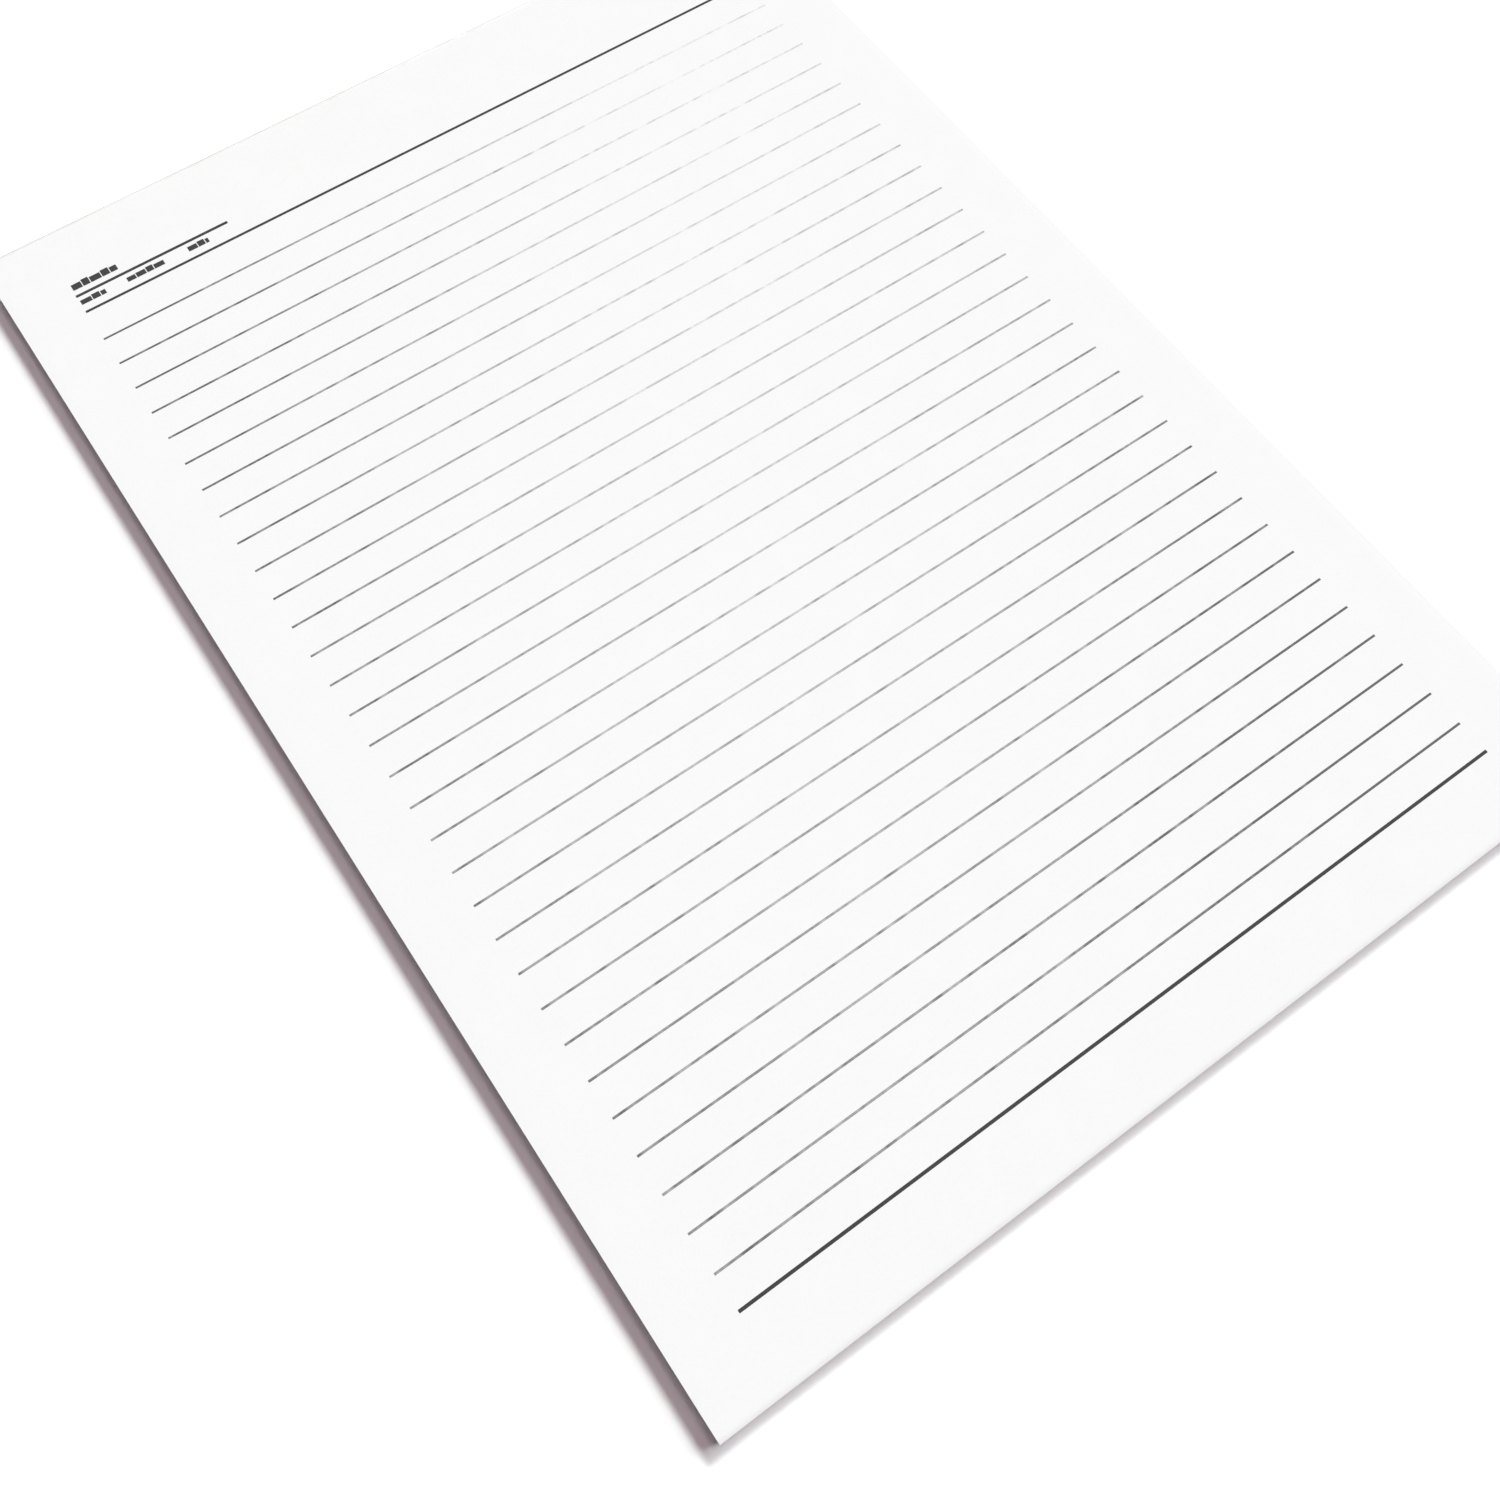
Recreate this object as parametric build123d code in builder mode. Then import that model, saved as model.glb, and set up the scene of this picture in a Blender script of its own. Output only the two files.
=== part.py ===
from build123d import *
import os
from math import radians, sin

# A pad of ruled A4 writing paper, glued along its head and backed with greyboard.
# The pad lies on its board, face up. X runs along the rules, Y from the foot to the
# glued head and Z up. The origin is on the underside, in the middle of the footprint.
# All sizes are in millimetres.

# Driving dimensions
sheet_width = 210.0        # A4, along the rules
sheet_length = 297.0       # A4, from the foot to the head
leaf_thickness = 0.1       # 80 g writing paper
leaf_count = 100
knife_drift = 0.16         # furthest that the knife's slow wander sets a cut edge back
leaf_slip = 0.06           # furthest that one leaf slid under the clamp, on top of that
wander_turn_degrees = 11   # the wander's wave, from one leaf to the next
slip_turn_degrees = 137    # the slip's, which jumps about from leaf to leaf
left_start_degrees = 35    # where each cut edge starts on both waves
right_start_degrees = 155
foot_start_degrees = 275
board_thickness = 1.2      # greyboard
board_edge_crush = 0.25    # the board's lower edges, rounded by the knife and by use
board_corner_wear = 0.5    # the board's two free corners
glue_film = 0.5            # padding glue over the head
glue_rounding = 0.35       # the film's two long outer edges

# Worked out
block_height = leaf_count * leaf_thickness
pad_height = board_thickness + block_height
foot_y = -(sheet_length + glue_film) / 2
head_y = foot_y + sheet_length


def stand_back(leaf, start_degrees):
    """How far one cut edge of a leaf stands back from the outermost leaf's line."""
    wander = (1 + sin(radians(start_degrees + leaf * wander_turn_degrees))) / 2
    slip = (1 + sin(radians(start_degrees + leaf * slip_turn_degrees))) / 2
    return knife_drift * wander + leaf_slip * slip


# The leaves, one block: each one a hair out of line with the next on the three cut
# edges, while the head was knocked up flush for gluing.
with BuildPart() as sheets:
    for leaf in range(leaf_count):
        left_x = -sheet_width / 2 + stand_back(leaf, left_start_degrees)
        right_x = sheet_width / 2 - stand_back(leaf, right_start_degrees)
        leaf_foot_y = foot_y + stand_back(leaf, foot_start_degrees)
        with BuildSketch(Plane.XY.offset(board_thickness + leaf * leaf_thickness)):
            with BuildLine():
                Polyline(
                    (left_x, leaf_foot_y),
                    (right_x, leaf_foot_y),
                    (right_x, head_y),
                    (left_x, head_y),
                    close=True,
                )
            make_face()
    extrude(amount=leaf_thickness)
sheets.part.label = "sheets"

# The backing board, cut flush with the leaves, its free corners and lower edges worn
with BuildPart() as backing_board:
    with BuildSketch(Plane.XY):
        with Locations((0, foot_y)):
            Rectangle(sheet_width, sheet_length, align=(Align.CENTER, Align.MIN))
    extrude(amount=board_thickness)
    free_corners = backing_board.edges().filter_by(Axis.Z).group_by(Axis.Y)[0]
    fillet(free_corners, board_corner_wear)
    underside = backing_board.faces().sort_by(Axis.Z)[0]
    fillet(underside.edges().sort_by(Axis.Y)[:-1], board_edge_crush)
backing_board.part.label = "backing_board"

# The padding glue, a brushed film over the head of the leaves and the board, trimmed
# flush at both ends. Its two long outer edges are rounded where the brush left it.
with BuildPart() as glue_binding:
    with BuildSketch(Plane.XZ.offset(-head_y)):
        Rectangle(sheet_width, pad_height, align=(Align.CENTER, Align.MIN))
    extrude(amount=-glue_film)
    outer_face = glue_binding.faces().sort_by(Axis.Y)[-1]
    fillet(outer_face.edges().filter_by(Axis.X), glue_rounding)
glue_binding.part.label = "glue_binding"

os.makedirs("parts", exist_ok=True)
export_step(sheets.part, "parts/sheets.step")
export_step(backing_board.part, "parts/backing_board.step")
export_step(glue_binding.part, "parts/glue_binding.step")
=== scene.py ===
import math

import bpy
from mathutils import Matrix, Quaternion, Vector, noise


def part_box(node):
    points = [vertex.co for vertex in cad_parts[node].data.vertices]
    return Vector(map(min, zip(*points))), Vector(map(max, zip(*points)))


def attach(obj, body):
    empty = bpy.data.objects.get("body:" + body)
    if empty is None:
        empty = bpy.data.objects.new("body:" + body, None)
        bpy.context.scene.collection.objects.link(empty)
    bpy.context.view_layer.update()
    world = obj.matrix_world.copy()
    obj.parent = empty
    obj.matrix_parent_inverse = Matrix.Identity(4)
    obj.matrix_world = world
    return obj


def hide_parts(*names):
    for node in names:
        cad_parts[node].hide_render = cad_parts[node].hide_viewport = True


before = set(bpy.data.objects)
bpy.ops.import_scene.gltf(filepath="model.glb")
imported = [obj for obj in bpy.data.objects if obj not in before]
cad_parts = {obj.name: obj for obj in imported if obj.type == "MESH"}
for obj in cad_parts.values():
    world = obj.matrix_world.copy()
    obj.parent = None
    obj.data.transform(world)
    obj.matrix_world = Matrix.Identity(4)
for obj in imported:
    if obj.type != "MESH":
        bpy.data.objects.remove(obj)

# %% [markdown]
# # A pad of ruled writing paper
#
# The real thing is a block of a hundred thin leaves, squared up, glued along one short
# edge and stiffened with a greyboard back. Only the top leaf shows its print: pale grey
# rules, two heavy rules and a small heading.
#
# The solids come from model.glb and fix every size. This script dresses them: it builds
# the leaves one by one, lays the ink on the top leaf, brushes the glue on, and gives
# every surface a finish. Lengths are in metres, and `MM` turns millimetres into metres.

MM = 0.001
PAPER, BOARD, GLUE = "sheets", "backing_board", "glue_binding"
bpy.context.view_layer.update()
block_low, block_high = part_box(PAPER)
glue_low, glue_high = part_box(GLUE)
for node in (PAPER, BOARD, GLUE):
    low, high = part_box(node)
    print(node, "is", [round((b - a) / MM, 2) for a, b in zip(low, high)], "mm")

# %% [markdown]
# ## A slab, the one shape that everything here is cut from
#
# A leaf, an ink line and a film of glue are all the same kind of thing: a thin slab with
# a top and a bottom that swell or dip a little. A cube scaled flat could not dip, and a
# plane with a Solidify modifier gives no say over its edges. So one small function builds
# a slab over a grid: it asks for the place of each grid point on the lower and the upper
# face, and sews a wall round the rim. The result is always closed.

# %% Build slabs from grids
def slab_mesh(across, along, lower, upper):
    """Points and faces of a closed slab; lower and upper turn (u, v) into a point."""
    points = [face(u, v) for face in (lower, upper) for v in along for u in across]
    wide, long = len(across), len(along)
    above = wide * long

    def at(i, j):
        return j * wide + i

    faces = []
    for j in range(long - 1):
        for i in range(wide - 1):
            corner = (at(i, j), at(i + 1, j), at(i + 1, j + 1), at(i, j + 1))
            faces.append(tuple(reversed(corner)))
            faces.append(tuple(above + k for k in corner))
    rim = [at(i, 0) for i in range(wide)]
    rim += [at(wide - 1, j) for j in range(1, long)]
    rim += [at(i, long - 1) for i in range(wide - 2, -1, -1)]
    rim += [at(0, j) for j in range(long - 2, 0, -1)]
    for a, b in zip(rim, rim[1:] + rim[:1]):
        faces.append((a, b, above + b, above + a))
    return points, faces, len(rim)


def even_steps(count):
    """Shares from 0 to 1 in that many equal steps."""
    return [k / count for k in range(count + 1)]


# %% [markdown]
# A piece is one object made of many slabs, such as all the thin rules together. They
# could be an object each, but nobody would ever move one rule by itself. The walls of a
# slab may have a finish of their own, as the cut edge of paper has. Faces that meet at
# more than `SHARP_ANGLE` keep a crisp edge, and all the others shade smoothly.

# %% Turn slabs into a piece
SHARP_ANGLE = math.radians(35)


def make_piece(name, slabs, finishes):
    """One object from many slabs. The walls of each slab take the last finish."""
    points, faces, finish_index = [], [], []
    for slab_points, slab_faces, rim_count in slabs:
        start = len(points)
        points += slab_points
        faces += [tuple(start + k for k in face) for face in slab_faces]
        finish_index += [0] * (len(slab_faces) - rim_count) + [len(finishes) - 1] * rim_count
    mesh = bpy.data.meshes.new(name)
    mesh.from_pydata(points, [], faces)
    for finish in finishes:
        mesh.materials.append(finish)
    mesh.polygons.foreach_set("material_index", finish_index)
    mesh.polygons.foreach_set("use_smooth", [True] * len(faces))
    mesh.set_sharp_from_angle(angle=SHARP_ANGLE)
    mesh.update()
    piece = bpy.data.objects.new(name, mesh)
    bpy.context.scene.collection.objects.link(piece)
    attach(piece, "root")
    print(name, "has", len(faces), "faces")
    return piece


# %% [markdown]
# ## Finishes
#
# Each finish is a small network of nodes around one Principled shader. Colour comes from
# noise in object space, which is the real size of the object in metres, so a scale of
# 1000 makes spots about a millimetre wide. Roughness and gloss stay plain numbers on the
# shader.

# %% A new finish and its spots
def new_finish(name, roughness, gloss):
    """A material with its shader, and its nodes and links to add to."""
    finish = bpy.data.materials.new(name)
    finish.use_nodes = True
    nodes, links = finish.node_tree.nodes, finish.node_tree.links
    shader = nodes["Principled BSDF"]
    shader.inputs["Roughness"].default_value = roughness
    shader.inputs["Specular IOR Level"].default_value = gloss
    place = nodes.new("ShaderNodeTexCoord")
    print("finish", name, "with roughness", roughness, "and gloss", gloss)
    return finish, nodes, links, shader, place.outputs["Object"]


def spots(nodes, links, place, per_metre, stretch=(1, 1, 1), detail=4):
    """Noise of so many spots a metre, drawn out along an axis where stretch is small."""
    mapping = nodes.new("ShaderNodeMapping")
    mapping.inputs["Scale"].default_value = stretch
    texture = nodes.new("ShaderNodeTexNoise")
    texture.inputs["Scale"].default_value = per_metre
    texture.inputs["Detail"].default_value = detail
    links.new(place, mapping.inputs["Vector"])
    links.new(mapping.outputs["Vector"], texture.inputs["Vector"])
    return texture.outputs["Fac"]


# %% [markdown]
# Noise alone is grey. A colour ramp turns it into colour, one colour can be multiplied
# over another, and a Bump node turns grey into relief.
#
# A Mix node has sockets for numbers, for vectors and for colours, many with the same
# name, so its colour sockets are called by their place in the list.

# %% Colour and relief
MIX_FIRST, MIX_SECOND, MIX_RESULT = 6, 7, 2


def tint(nodes, links, amount, stops):
    """Turns a grey value into colour through a ramp with these (place, colour) stops."""
    ramp = nodes.new("ShaderNodeValToRGB")
    ramp.color_ramp.elements[0].position = stops[0][0]
    ramp.color_ramp.elements[0].color = (*stops[0][1], 1)
    ramp.color_ramp.elements[1].position = stops[-1][0]
    ramp.color_ramp.elements[1].color = (*stops[-1][1], 1)
    for position, colour in stops[1:-1]:
        ramp.color_ramp.elements.new(position).color = (*colour, 1)
    links.new(amount, ramp.inputs["Fac"])
    return ramp.outputs["Color"]


def multiply(nodes, links, first, second):
    """One colour laid over another, as dirt darkens paper."""
    mix = nodes.new("ShaderNodeMix")
    mix.data_type = "RGBA"
    mix.blend_type = "MULTIPLY"
    mix.inputs["Factor"].default_value = 1
    links.new(first, mix.inputs[MIX_FIRST])
    links.new(second, mix.inputs[MIX_SECOND])
    return mix.outputs[MIX_RESULT]


def raise_relief(nodes, links, shader, height, depth):
    """Relief of that depth in metres from a grey value."""
    bump = nodes.new("ShaderNodeBump")
    bump.inputs["Strength"].default_value = 1
    bump.inputs["Distance"].default_value = depth
    links.new(height, bump.inputs["Height"])
    links.new(bump.outputs["Normal"], shader.inputs["Normal"])


# %% [markdown]
# ### Writing paper
#
# Uncoated paper is nearly white, dull, and not quite even: held to the light it has a
# cloudy look, and close up it shows fibres. Cloud and fibre are two noises of very
# different sizes, each moving the white by a percent or two. The relief is the tooth
# that a pencil bites on, about a hundredth of a millimetre deep.

# %% Paper, its face
WHITE = (0.965, 0.965, 0.963)
FIBRE_WHITE = tuple(0.98 * c for c in WHITE)
TOOTH_DEPTH = 0.012 * MM
page_finish, nodes, links, shader, place = new_finish("paper_face", roughness=0.92, gloss=0.2)
clouds = spots(nodes, links, place, per_metre=140, detail=3)
cloudy = tint(nodes, links, clouds, [(0.3, (0.99, 0.99, 0.99)), (0.7, (1, 1, 1))])
fibres = spots(nodes, links, place, per_metre=2600, stretch=(1, 0.45, 1), detail=6)
fibrous = tint(nodes, links, fibres, [(0.32, FIBRE_WHITE), (0.62, WHITE)])
links.new(multiply(nodes, links, cloudy, fibrous), shader.inputs["Base Color"])
tooth = spots(nodes, links, place, per_metre=3200, detail=6)
raise_relief(nodes, links, shader, tooth, TOOTH_DEPTH)

# %% [markdown]
# The cut edge of the stack is the same paper seen end on. Its colour is painted a little
# darker and warmer than the face: painted shade for the light that sinks between the
# leaves. It carries faint streaks across all the leaves where nicks in the guillotine's
# knife dragged. Noise that is drawn out along the leaves and fine across them gives the
# grain of the layers, in colour and in relief.

# %% Paper, its cut edge
LAYER_DEPTH = 0.03 * MM
edge_finish, nodes, links, shader, place = new_finish("paper_cut_edge", roughness=0.95, gloss=0.15)
layers = spots(nodes, links, place, per_metre=9000, stretch=(0.012, 0.012, 1), detail=3)
# Painted shade: these greys are darker and warmer than the face, for the light lost between the
# leaves.
layered_and_shaded = tint(nodes, links, layers, [(0.3, (0.80, 0.79, 0.775)), (0.7, (0.9, 0.895, 0.885))])
nicks = spots(nodes, links, place, per_metre=1500, stretch=(1, 1, 0.02), detail=3)
nicked = tint(nodes, links, nicks, [(0.3, (0.93, 0.93, 0.925)), (0.55, (1, 1, 1))])
links.new(multiply(nodes, links, layered_and_shaded, nicked), shader.inputs["Base Color"])
raise_relief(nodes, links, shader, layers, LAYER_DEPTH)

# %% [markdown]
# ### Greyboard
#
# The back is raw board pulped from waste paper: a brownish grey full of darker and
# lighter flecks and short fibres. Three noises do it, a broad one for the cloudy base
# and two fine ones. Their ramps cut them hard, so that of one only the darkest spots
# show and of the other only the lightest.

# %% Greyboard
PULP_DEPTH = 0.05 * MM
board_finish, nodes, links, shader, place = new_finish("greyboard", roughness=0.9, gloss=0.15)
clouds = spots(nodes, links, place, per_metre=220, detail=5)
base = tint(nodes, links, clouds, [(0.3, (0.36, 0.34, 0.31)), (0.7, (0.45, 0.43, 0.395))])
flecks = spots(nodes, links, place, per_metre=900, stretch=(1, 0.5, 1), detail=2)
dark_flecks = tint(nodes, links, flecks, [(0.25, (0.45, 0.44, 0.43)), (0.36, (1, 1, 1))])
fibres = spots(nodes, links, place, per_metre=1400, stretch=(0.25, 1, 1), detail=4)
pale_fibres = tint(nodes, links, fibres, [(0.62, (0.86, 0.86, 0.86)), (0.74, (1.25, 1.24, 1.2))])
flecked = multiply(nodes, links, base, dark_flecks)
links.new(multiply(nodes, links, flecked, pale_fibres), shader.inputs["Base Color"])
pulp = spots(nodes, links, place, per_metre=1600, detail=6)
raise_relief(nodes, links, shader, pulp, PULP_DEPTH)

# %% [markdown]
# ### Padding glue
#
# Padding glue is a white rubbery emulsion. It dries to a cream film with a soft shine,
# thinner where the brush pressed. The colour follows the brush strokes, which run along
# the head, and the relief repeats them.

# %% Padding glue
STROKE_DEPTH = 0.12 * MM
glue_finish, nodes, links, shader, place = new_finish("padding_glue", roughness=0.38, gloss=0.5)
strokes = spots(nodes, links, place, per_metre=1500, stretch=(0.03, 1, 1), detail=3)
film = tint(nodes, links, strokes, [(0.3, (0.86, 0.853, 0.825)), (0.65, (0.934, 0.93, 0.913))])
patches = spots(nodes, links, place, per_metre=90, detail=3)
patched = tint(nodes, links, patches, [(0.3, (0.94, 0.93, 0.91)), (0.6, (1, 1, 1))])
links.new(multiply(nodes, links, film, patched), shader.inputs["Base Color"])
raise_relief(nodes, links, shader, strokes, STROKE_DEPTH)

# %% [markdown]
# ### Printing ink
#
# The rules are printed in a thin grey, the heavy rules and the heading in near black.
# Offset ink on dull paper is never quite solid, so a fine noise breaks its colour up.

# %% Black ink
def grained_ink(nodes, links, place, dark, light):
    """Ink that runs between two greys as the paper held more or less of it."""
    grain = spots(nodes, links, place, per_metre=3500, detail=3)
    return tint(nodes, links, grain, [(0.35, dark), (0.7, light)])


heavy_ink, nodes, links, shader, place = new_finish("ink_black", roughness=0.7, gloss=0.25)
black = grained_ink(nodes, links, place, (0.03, 0.03, 0.033), (0.055, 0.055, 0.058))
links.new(black, shader.inputs["Base Color"])

# %% [markdown]
# In the photograph the thin rules are crisp at the left and the foot and nearly fade out
# towards the right end of the head. The ink itself is even: the fade is painted glare,
# where the strong light washes the thin rules out. A Mapping node lays a long slanted oval
# around that end of the page, which turns the distance from its middle into a share: 0
# there and 1 at the oval's rim. `GLARE_REACH` is how far the rim is from the middle along
# each axis. It is a metre upwards, so height hardly counts. The share is how much of the
# ink shows through the painted glare. Noise with spots a few millimetres long makes it
# patchy, so that a faded rule breaks up along its length.

# %% Grey ink, where painted glare washes it out
# Where the painted glare lies on the page: its middle, its reach and its turn.
GLARE_CENTRE = Vector((79, 144, 11)) * MM
GLARE_REACH = Vector((397, 127, 1000)) * MM
GLARE_TURN = math.radians(62)
PATCHINESS = 1.0
rule_ink, nodes, links, shader, place = new_finish("ink_grey", roughness=0.7, gloss=0.25)
oval = nodes.new("ShaderNodeMapping")
oval.vector_type = "TEXTURE"
oval.inputs["Location"].default_value = GLARE_CENTRE
oval.inputs["Rotation"].default_value = (0, 0, GLARE_TURN)
oval.inputs["Scale"].default_value = GLARE_REACH
links.new(place, oval.inputs["Vector"])
away = nodes.new("ShaderNodeVectorMath")
away.operation = "LENGTH"
links.new(oval.outputs["Vector"], away.inputs[0])
patchy = nodes.new("ShaderNodeMath")
patchy.operation = "MULTIPLY_ADD"
patchy.inputs[1].default_value = PATCHINESS
links.new(spots(nodes, links, place, per_metre=400, detail=3), patchy.inputs[0])
links.new(away.outputs["Value"], patchy.inputs[2])
# Painted glare: the share of the ink that shows through it, near 0 in the middle, 1 at the rim.
glare_free = nodes.new("ShaderNodeMath")
glare_free.operation = "SUBTRACT"
glare_free.inputs[1].default_value = PATCHINESS / 2
links.new(patchy.outputs[0], glare_free.inputs[0])

# %% Grey ink, its colour
# Painted glare: the pale grey that the thin rules wash out to.
INK_UNDER_GLARE = (0.93, 0.93, 0.932, 1)
full = grained_ink(nodes, links, place, (0.115, 0.115, 0.118), (0.155, 0.155, 0.158))
# Mixes the ink towards the painted glare's pale grey.
glare_wash = nodes.new("ShaderNodeMix")
glare_wash.data_type = "RGBA"
glare_wash.inputs[MIX_FIRST].default_value = INK_UNDER_GLARE
links.new(glare_free.outputs[0], glare_wash.inputs["Factor"])
links.new(full, glare_wash.inputs[MIX_SECOND])
links.new(glare_wash.outputs[MIX_RESULT], shader.inputs["Base Color"])
print("the thin rules fade to", INK_UNDER_GLARE[:3])

# %% [markdown]
# ## The leaves
#
# A hundred leaves are too thin to tell apart across a room, but from near by the stack's
# edge shows each of them. They could be painted on as stripes; real leaves catch the
# light on their own corners, so each one is its own slab here.
#
# No two leaves are quite in line. The knife wanders slowly through the stack, and single
# leaves slip a little under the clamp. Both are sine waves, as on the solid. The glued
# head is squeezed a little thinner than the loose foot, and the foot edge is rubbed down
# by the hand, so the height of the stack is a function of the place. Each leaf fills most
# of its share of that height, and a hairline of air is left below the next one. Paper
# also cockles, so noise in long soft waves lowers the stack a little here and there.

# %% Sizes of the stack
LEAF_COUNT = 100
LEAF_SHARE = 0.88
KNIFE_DRIFT = 0.16 * MM
LEAF_SLIP = 0.06 * MM
WANDER_TURN, SLIP_TURN = math.radians(11), math.radians(137)
LEFT_START, RIGHT_START, FOOT_START = (math.radians(a) for a in (35, 155, 275))
INK_THICKNESS = 0.02 * MM
HEAD_SQUEEZE = 0.15 * MM
HEAD_REACH = 40 * MM
FOOT_DROOP = 0.4 * MM
FOOT_REACH = 1.2 * MM
SIDE_DROOP = 0.05 * MM
SIDE_REACH = 2 * MM
COCKLE = 0.05 * MM
COCKLE_LENGTH = 70 * MM
block_height = block_high.z - block_low.z - INK_THICKNESS
print("leaf pitch", round(block_height / LEAF_COUNT / MM, 4), "mm")


# %% Where the leaves end and how high they lie
def stand_back(leaf, start):
    """How far one cut edge of a leaf stands back from the outermost leaf's line."""
    wander = (1 + math.sin(start + leaf * WANDER_TURN)) / 2
    slip = (1 + math.sin(start + leaf * SLIP_TURN)) / 2
    return KNIFE_DRIFT * wander + LEAF_SLIP * slip


def ease(share):
    """A smooth step from 0 to 1."""
    share = min(max(share, 0), 1)
    return share * share * (3 - 2 * share)


def stack_height(x, y):
    """Height of the stack over the board at a place on the page."""
    squeeze = HEAD_SQUEEZE * ease(1 - (block_high.y - y) / HEAD_REACH)
    droop = FOOT_DROOP * min(max(1 - (y - block_low.y) / FOOT_REACH, 0), 1) ** 2
    side = min(x - block_low.x, block_high.x - x)
    droop += SIDE_DROOP * ease(1 - side / SIDE_REACH)
    wave = COCKLE * (0.5 + 0.5 * noise.noise(Vector((x, y, 0)) / COCKLE_LENGTH))
    return block_height - squeeze - droop - wave


def page_height(x, y):
    """Height of the top leaf's face, where the ink lies."""
    return block_low.z + stack_height(x, y) * (LEAF_COUNT - 1 + LEAF_SHARE) / LEAF_COUNT


print("page height at the middle", round(page_height(0, 0) / MM, 3), "mm")

# %% [markdown]
# Only the edges of the lower leaves are ever seen, so their grid lines crowd together
# near the edges and are far apart in the middle. The top leaf carries the ink, which has
# to follow its face closely, so it is its own piece with an even, finer grid. The places
# of the crowded lines are in millimetres from the leaf's edge.

# %% Cut the leaves
ROUGH_LINES_ACROSS = (0, 1, 3, 12, 35, 70)
ROUGH_LINES_ALONG = (0, 0.3, 0.6, 1.2, 3, 12, 35, 70, 110)
FINE_LINES_ACROSS = (1, 2, 3)
FINE_LINES_ALONG = (0.3, 0.6, 0.9, 1.2, 2)
FINE_STEPS_ACROSS, FINE_STEPS_ALONG = 42, 60


def crowded(length, lines):
    """Shares along a side, with lines so many millimetres from each of its ends."""
    near = [line * MM / length for line in lines]
    return near + [0.5] + [1 - share for share in reversed(near)]


def leaf_slab(leaf, across, along):
    """One leaf between its own cut edges, following the stack's height."""
    left = block_low.x + stand_back(leaf, LEFT_START)
    right = block_high.x - stand_back(leaf, RIGHT_START)
    foot = block_low.y + stand_back(leaf, FOOT_START)

    def face(level):
        def point(u, v):
            x = left + (right - left) * u
            y = foot + (block_high.y - foot) * v
            return x, y, block_low.z + stack_height(x, y) * level / LEAF_COUNT
        return point

    return slab_mesh(across, along, face(leaf), face(leaf + LEAF_SHARE))


block_width = block_high.x - block_low.x
block_length = block_high.y - block_low.y
rough_across = crowded(block_width, ROUGH_LINES_ACROSS)
rough_along = crowded(block_length, ROUGH_LINES_ALONG)
lower_leaves = make_piece(
    "leaves",
    [leaf_slab(leaf, rough_across, rough_along) for leaf in range(LEAF_COUNT - 1)],
    [page_finish, edge_finish],
)
fine_across = sorted(set(even_steps(FINE_STEPS_ACROSS) + crowded(block_width, FINE_LINES_ACROSS)))
fine_along = sorted(set(even_steps(FINE_STEPS_ALONG) + crowded(block_length, FINE_LINES_ALONG)))
top_leaf = make_piece(
    "top_leaf",
    [leaf_slab(LEAF_COUNT - 1, fine_across, fine_along)],
    [page_finish, edge_finish],
)
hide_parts(PAPER)
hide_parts(PAPER)

# %% [markdown]
# ## The ruling
#
# The printed rules are ink, a few thousandths of a millimetre thick. They could be drawn
# by the paper's own shader, but a baked picture of the page would blur lines half a
# millimetre wide. As thin slabs that follow the page they stay sharp from any distance.
# They stand two hundredths of a millimetre proud, more than ink does, so that the page
# never shows through them.
#
# The ruling is measured from `rule_left` and `rule_foot`, one pitch below the left end of
# the lowest thin rule. The heavy rule at the foot stands a little above that place. Each
# rule has a grid line every `RULE_STEP`, so that it follows the page's soft waves.

# %% Sizes of the ruling
RULE_PITCH = 8 * MM
RULE_LENGTH = 180.6 * MM
RULE_COUNT = 31
RULE_WIDTH = 0.5 * MM
HEAVY_WIDTH = 0.68 * MM
FOOT_RULE_UP = 0.7 * MM
HEAD_RULE_UP = 257.2 * MM
RULE_STEP = 4 * MM
LEFT_MARGIN = 14.4 * MM
FOOT_MARGIN = 14.4 * MM
rule_left = block_low.x + LEFT_MARGIN
rule_foot = block_low.y + FOOT_MARGIN
print("the rules start", round(rule_left / MM, 1), round(rule_foot / MM, 1), "mm")


def ink_slab(left, foot, length, width, steps):
    """A printed bar that follows the page, its lower-left corner at left, foot."""
    def face(lift):
        def point(u, v):
            x, y = left + length * u, foot + width * v
            return x, y, page_height(x, y) + lift
        return point

    return slab_mesh(even_steps(steps), even_steps(1), face(-INK_THICKNESS), face(INK_THICKNESS))


def rule_slab(up, length, width):
    """One rule, centred on its height up the page."""
    steps = max(2, round(length / RULE_STEP))
    return ink_slab(rule_left, rule_foot + up - width / 2, length, width, steps)


# %% Print the rules
make_piece(
    "light_rules",
    [rule_slab(line * RULE_PITCH, RULE_LENGTH, RULE_WIDTH) for line in range(1, RULE_COUNT + 1)],
    [rule_ink],
)
make_piece(
    "heavy_rules",
    [rule_slab(up, RULE_LENGTH, HEAVY_WIDTH) for up in (FOOT_RULE_UP, HEAD_RULE_UP)],
    [heavy_ink],
)

# %% [markdown]
# ## The heading
#
# Such a page has a small heading at the left of its head. Here it is a short rule with
# rows of plain blocks above and below it. The blocks are uneven in width and height,
# which is how a designer marks type that isn't set yet. At the size they are seen they
# give the page its small dark accents.
#
# Each of the `BLOCKS` is a width in millimetres and a share of its row's height. Each of
# the `ROWS` is its left end, its height up the page, its length, how tall it is, all in
# millimetres, and the block that it starts with.

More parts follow.
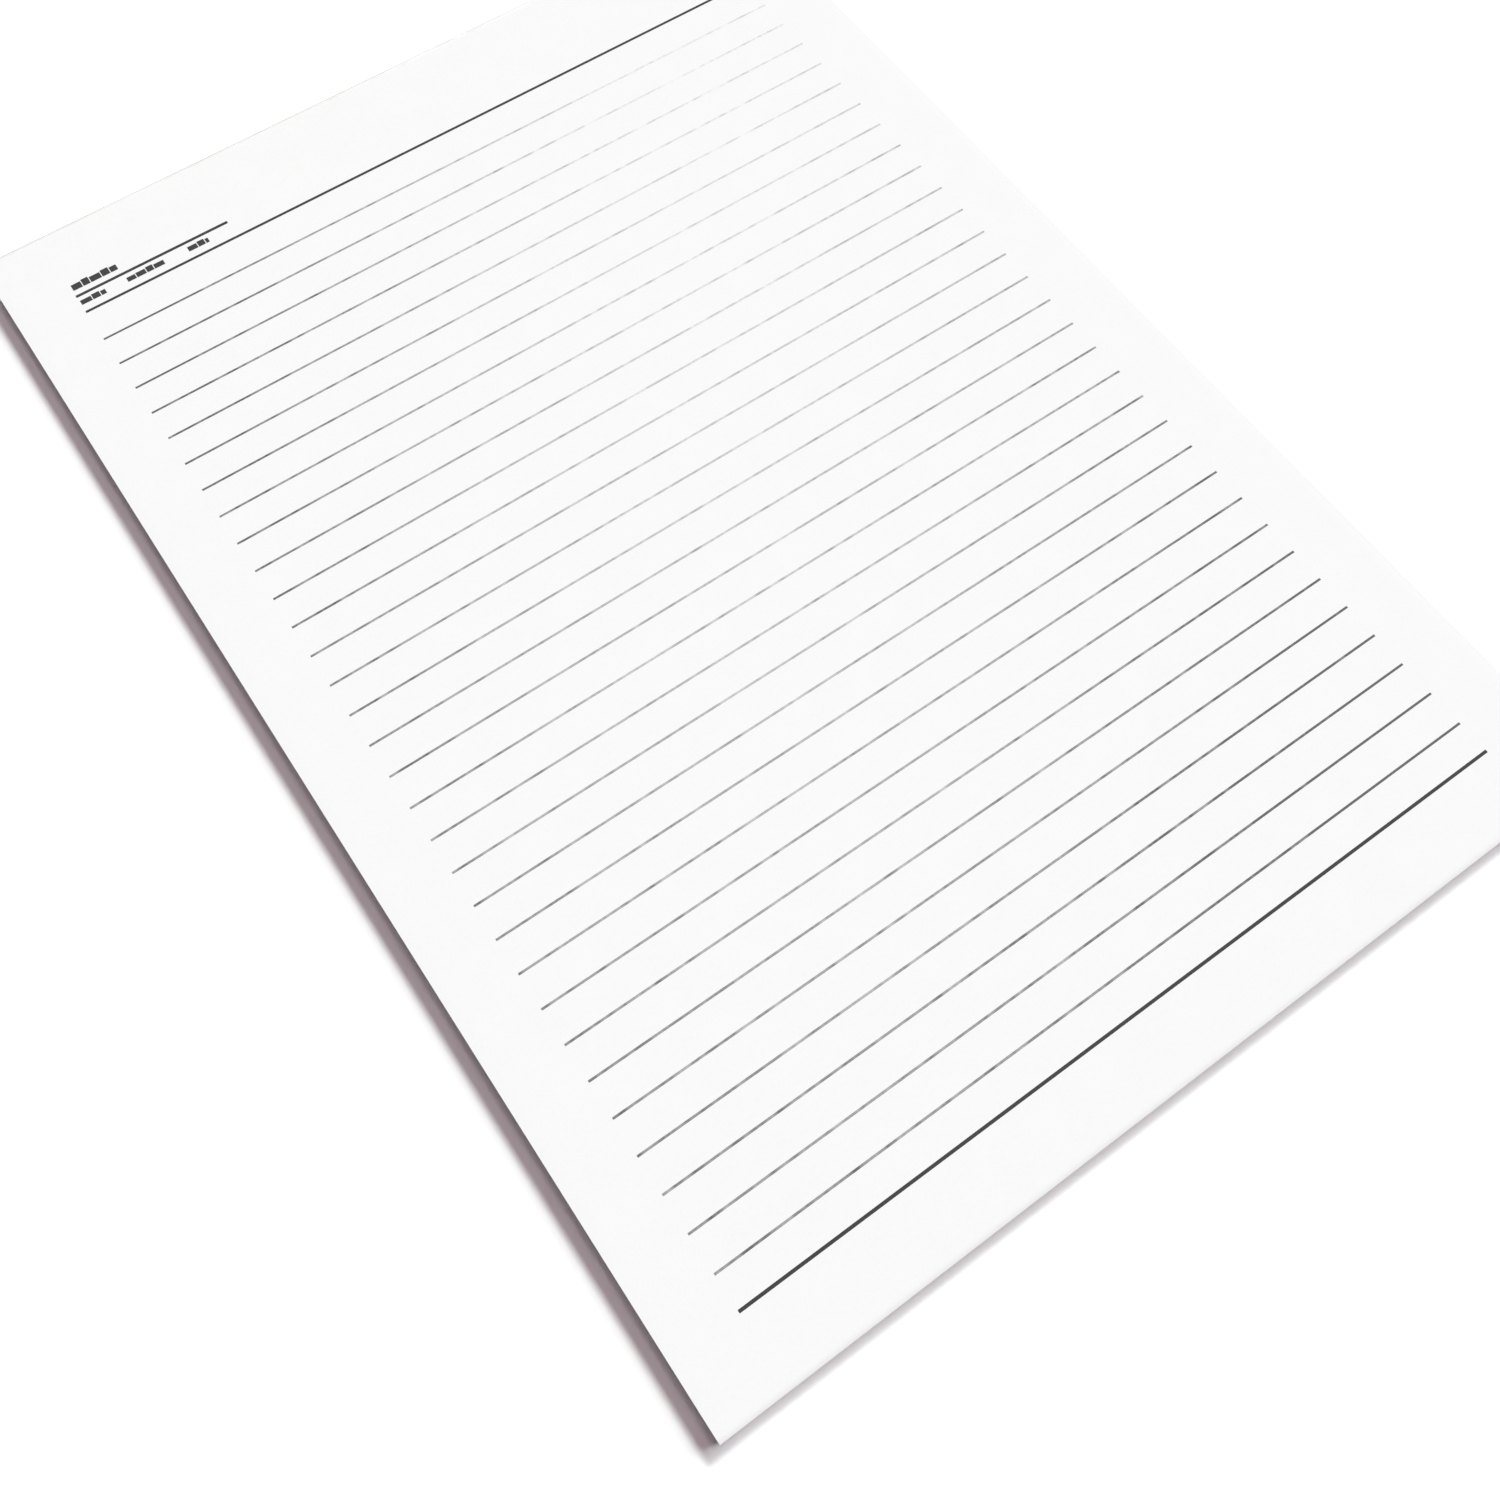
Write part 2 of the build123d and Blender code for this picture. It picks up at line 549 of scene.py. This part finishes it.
# %% Sizes of the heading
SHORT_RULE_UP = 262.4 * MM
SHORT_RULE_LENGTH = 38 * MM
SHORT_RULE_WIDTH = 0.75 * MM
BLOCKS = ((2.3, 1.0), (1.7, 1.15), (2.6, 0.95), (1.9, 1.1), (2.1, 0.92))
BLOCK_GAP = 0.2 * MM
BLOCK_STEPS = 2
ABOVE, BELOW = 264.25, 259.5
TALL, SMALL = 1.8, 1.45
ROWS = (
    (0.3, ABOVE, 11, TALL, 0),
    (0.2, BELOW, 6.1, SMALL, 2),
    (11.6, BELOW, 9.2, SMALL, 4),
    (26.9, BELOW, 5.2, SMALL, 0),
)
print("the heading has", len(ROWS), "rows of blocks")


# %% Print the heading
def block_row(left, foot, length, height, first_block):
    """A row of uneven blocks with thin gaps between them, cut off at its length."""
    slabs, x, block = [], left, first_block
    while x < left + length - BLOCK_GAP:
        wide, tall = BLOCKS[block % len(BLOCKS)]
        width = min(wide * MM, left + length - x)
        slabs.append(ink_slab(rule_left + x, rule_foot + foot, width, height * tall, BLOCK_STEPS))
        x += width + BLOCK_GAP
        block += 1
    return slabs


heading = [rule_slab(SHORT_RULE_UP, SHORT_RULE_LENGTH, SHORT_RULE_WIDTH)]
for left, foot, length, height, first_block in ROWS:
    heading += block_row(left * MM, foot * MM, length * MM, height * MM, first_block)
make_piece("header_marks", heading, [heavy_ink])

# %% [markdown]
# ## The padding glue
#
# The film was brushed on, so it is uneven: ridged along the stroke, thin over some leaves
# and full over others, with a ragged lip where it crept over the top leaf. A slab stood
# on edge takes that form: its inner face is flat against the leaves, and its outer face
# is pushed out by noise that is drawn out along the head. The lip is a second slab, laid
# on the page.
#
# The measures of the film are shares of its full thickness, and it rises steeply by
# `EDGE_RISE` from its two long edges. So many ridges and blots fit up its height. Those
# of the lip are shares of its reach, and at its front it keeps a share of its thickness.
# Blender's noise is the same each time at the same place, so each pattern takes a slice
# of its own.

# %% How the glue swells and creeps
FILM_MEAN, FILM_RIDGES, FILM_BLOTS = 0.72, 0.2, 0.08
FILM_EDGE, EDGE_RISE = 0.1, 4
RIDGE_LENGTH, RIDGES_UP, RIDGE_SLICE = 30 * MM, 14, 3
BLOT_LENGTH, BLOTS_UP, BLOT_SLICE = 6 * MM, 4, 9
LIP_REACH = 0.7 * MM
LIP_MEAN, LIP_RAGS = 0.6, 0.4
LIP_RAG_LENGTH, LIP_SLICE = 4 * MM, (5, 1)
LIP_FRONT = 0.15
film_thickness = glue_high.y - glue_low.y
print("the film is", round(film_thickness / MM, 2), "mm thick at the most")


def film_depth(x, share):
    """Thickness of the film at a share of its height, thin at its two long edges."""
    ends = min(1, FILM_EDGE + EDGE_RISE * math.sqrt(max(share * (1 - share), 0)))
    ridges = noise.noise(Vector((x / RIDGE_LENGTH, share * RIDGES_UP, RIDGE_SLICE)))
    blots = noise.noise(Vector((x / BLOT_LENGTH, share * BLOTS_UP, BLOT_SLICE)))
    return film_thickness * ends * (FILM_MEAN + FILM_RIDGES * ridges + FILM_BLOTS * blots)


def glue_face(outward):
    """One face of the film; along the head goes u, up the head goes v."""
    def point(u, v):
        x = glue_low.x + (glue_high.x - glue_low.x) * (1 - u)
        depth = film_depth(x, v) if outward else 0
        z = glue_low.z + (glue_high.z - INK_THICKNESS - glue_low.z) * v
        return x, glue_low.y + depth, z
    return point


def lip_face(lift):
    """The ragged lip of glue on the top leaf, from the head towards the foot."""
    def point(u, v):
        x = glue_low.x + (glue_high.x - glue_low.x) * u
        rags = noise.noise(Vector((x / LIP_RAG_LENGTH, *LIP_SLICE)))
        y = block_high.y - LIP_REACH * (LIP_MEAN + LIP_RAGS * rags) * (1 - v)
        rise = lift * (LIP_FRONT + (1 - LIP_FRONT) * v)
        return x, y, min(page_height(x, y) + rise, glue_high.z)
    return point


# %% Brush on the glue
GLUE_STEPS_ALONG, GLUE_STEPS_UP, LIP_STEPS = 280, 24, 3
LIP_SUNK, LIP_THICKNESS = 0.02 * MM, 0.1 * MM
along_head = even_steps(GLUE_STEPS_ALONG)
film_slab = slab_mesh(along_head, even_steps(GLUE_STEPS_UP), glue_face(False), glue_face(True))
lip_slab = slab_mesh(along_head, even_steps(LIP_STEPS), lip_face(-LIP_SUNK), lip_face(LIP_THICKNESS))
glue_film = make_piece("glue_film", [film_slab, lip_slab], [glue_finish])
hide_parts(GLUE)

# %% [markdown]
# ## The backing board
#
# The solid already has the board's true form, with its worn corners and crushed lower
# edges, so it stays and only takes a finish.

# %% Finish the board
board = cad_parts[BOARD]
board.data.materials.clear()
board.data.materials.append(board_finish)
print(BOARD, "keeps its", len(board.data.polygons), "faces")

# %% [markdown]
# ## The table and the background
#
# The pad lies on white and is lit so brightly that the table burns out. That white comes
# from the table's own colour: to the camera it is a little lighter than any real paint,
# and to the pad it is an ordinary pale surface, so the pad isn't lit by it any more than
# it should be. It still takes the pad's shadow.

# %% Lay the table
def seen_directly(nodes, links):
    """1 for what the camera, a reflection or a clear part looks at, else 0."""
    path = nodes.new("ShaderNodeLightPath")
    seen = path.outputs["Is Camera Ray"]
    for name in ("Is Glossy Ray", "Is Transmission Ray"):
        either = nodes.new("ShaderNodeMath")
        either.operation = "MAXIMUM"
        links.new(seen, either.inputs[0])
        links.new(path.outputs[name], either.inputs[1])
        seen = either.outputs[0]
    return seen


TABLE_SIZE = 8.0
TABLE_DROP = 0.02 * MM
TABLE_PAINT = (0.8, 0.8, 0.8, 1)
TABLE_SEEN = (1.12, 1.12, 1.12, 1)
table_mesh = bpy.data.meshes.new("table")
half = TABLE_SIZE / 2
corners = [(-half, -half), (half, -half), (half, half), (-half, half)]
table_mesh.from_pydata([(x, y, -TABLE_DROP) for x, y in corners], [], [(0, 1, 2, 3)])
table = bpy.data.objects.new("table", table_mesh)
bpy.context.scene.collection.objects.link(table)
table_finish, nodes, links, shader, _ = new_finish("table_white", roughness=1.0, gloss=0.0)
shade = nodes.new("ShaderNodeMix")
shade.data_type = "RGBA"
shade.inputs[MIX_FIRST].default_value = TABLE_PAINT
shade.inputs[MIX_SECOND].default_value = TABLE_SEEN
links.new(seen_directly(nodes, links), shade.inputs["Factor"])
links.new(shade.outputs[MIX_RESULT], shader.inputs["Base Color"])
table_mesh.materials.append(table_finish)

# %% [markdown]
# ## Light
#
# The photograph's light comes from the right and from the head: the shadow is a dark
# band along the left side and a narrow pale one along the foot. Two suns give that. Both
# lean to the right, so both are missing in the dark band. Only the second leans clearly
# to the head as well, so the first still lights the band at the foot. A weak third sun
# stands almost overhead. It reaches into the dark band but not quite to the pad, and
# leaves the darker line there. A pale world fills the rest.
#
# The dark band is a little pink, so what lights it is too: the world and the third sun.
# The pale band is a little violet, and there only the second sun is missing. So that sun
# has a hint of green, and the first one makes up for all the others: on a level surface
# they add up to a plain 1, and a colour renders as it is written.

# %% Shares and tints of the light
RIGHT_SHARE, CORNER_SHARE, TOP_SHARE, WORLD_SHARE = 0.36, 0.43, 0.08, 0.13
SHADE_TINT = (1.15, 0.88, 0.97)
CORNER_TINT = (0.96, 1.02, 0.975)
SHADE_SHARE = TOP_SHARE + WORLD_SHARE
RIGHT_TINT = tuple(
    (1 - SHADE_SHARE * shade - CORNER_SHARE * corner) / RIGHT_SHARE
    for shade, corner in zip(SHADE_TINT, CORNER_TINT)
)
print("the right sun's tint is", [round(c, 3) for c in RIGHT_TINT])


# %% Hang the suns
def sun(name, lean_right, lean_head, share, softness, colour):
    """A sun that leans so many degrees each way, with that share of the whole light."""
    lamp = bpy.data.lights.new(name, "SUN")
    towards = Vector((math.tan(math.radians(lean_right)), math.tan(math.radians(lean_head)), 1))
    towards.normalize()
    lamp.color = colour
    lamp.energy = share * math.pi / towards.z
    lamp.angle = math.radians(softness)
    holder = bpy.data.objects.new(name, lamp)
    holder.rotation_mode = "QUATERNION"
    holder.rotation_quaternion = towards.to_track_quat("Z", "Y")
    bpy.context.scene.collection.objects.link(holder)
    print(name, "stands", round(math.degrees(math.asin(towards.z))), "degrees up")


sun("right_sun", lean_right=26, lean_head=0.5, share=RIGHT_SHARE, softness=22, colour=RIGHT_TINT)
sun("corner_sun", lean_right=20, lean_head=11.5, share=CORNER_SHARE, softness=8, colour=CORNER_TINT)
sun("top_sun", lean_right=8, lean_head=1, share=TOP_SHARE, softness=5, colour=SHADE_TINT)

# %% [markdown]
# The world is weak and tinted for the pad, but what looks straight at it sees plain
# white, as with the table. Light Path tells the two apart.

# %% Light from all round
world = bpy.data.worlds.new("studio")
world.use_nodes = True
bpy.context.scene.world = world
nodes, links = world.node_tree.nodes, world.node_tree.links
background = nodes["Background"]
background.inputs["Color"].default_value = (*SHADE_TINT, 1)
background.inputs["Strength"].default_value = WORLD_SHARE
backdrop = nodes.new("ShaderNodeBackground")
backdrop.inputs["Color"].default_value = (1, 1, 1, 1)
backdrop.inputs["Strength"].default_value = 1
either = nodes.new("ShaderNodeMixShader")
links.new(seen_directly(nodes, links), either.inputs["Fac"])
links.new(background.outputs[0], either.inputs[1])
links.new(backdrop.outputs[0], either.inputs[2])
links.new(either.outputs[0], nodes["World Output"].inputs["Surface"])
print("the world gives", WORLD_SHARE, "of the light")

# %% [markdown]
# ## The camera
#
# The rules run to one vanishing point, and the lines through their ends to another. With
# the rules' known pitch and length those give the lens and the place it was held: about
# 27 centimetres above the page's lower left corner, looking up the page to the right. The
# places are measured from the ruling's own lower left corner, and the roll is the last
# degree of turn.

# %% Place the camera
EYE = Vector((-4.2, -5.75, 266.2)) * MM
AIM = Vector((61.1, 84.35, 0)) * MM
ROLL = 0.93
LENS = 35.08
corner = Vector((rule_left, rule_foot, page_height(rule_left, rule_foot)))
eye, aim = corner + EYE, corner + AIM
camera_data = bpy.data.cameras.new("camera")
camera_data.lens = LENS
camera_data.sensor_width = 36
camera_data.clip_start = 0.01
camera = bpy.data.objects.new("camera", camera_data)
camera.location = eye
camera.rotation_mode = "QUATERNION"
level = (aim - eye).to_track_quat("-Z", "Y")
camera.rotation_quaternion = level @ Quaternion((0, 0, 1), math.radians(ROLL))
bpy.context.scene.collection.objects.link(camera)
bpy.context.scene.camera = camera
bpy.context.scene.view_settings.view_transform = "Standard"
print("camera to page", round((aim - eye).length / MM), "mm")

# %% [markdown]
# ## Finish
#
# The dressed pad is built to stay inside the box of the solids. Last, the scene is
# brought up to date.

# %% Finish
bpy.context.view_layer.update()
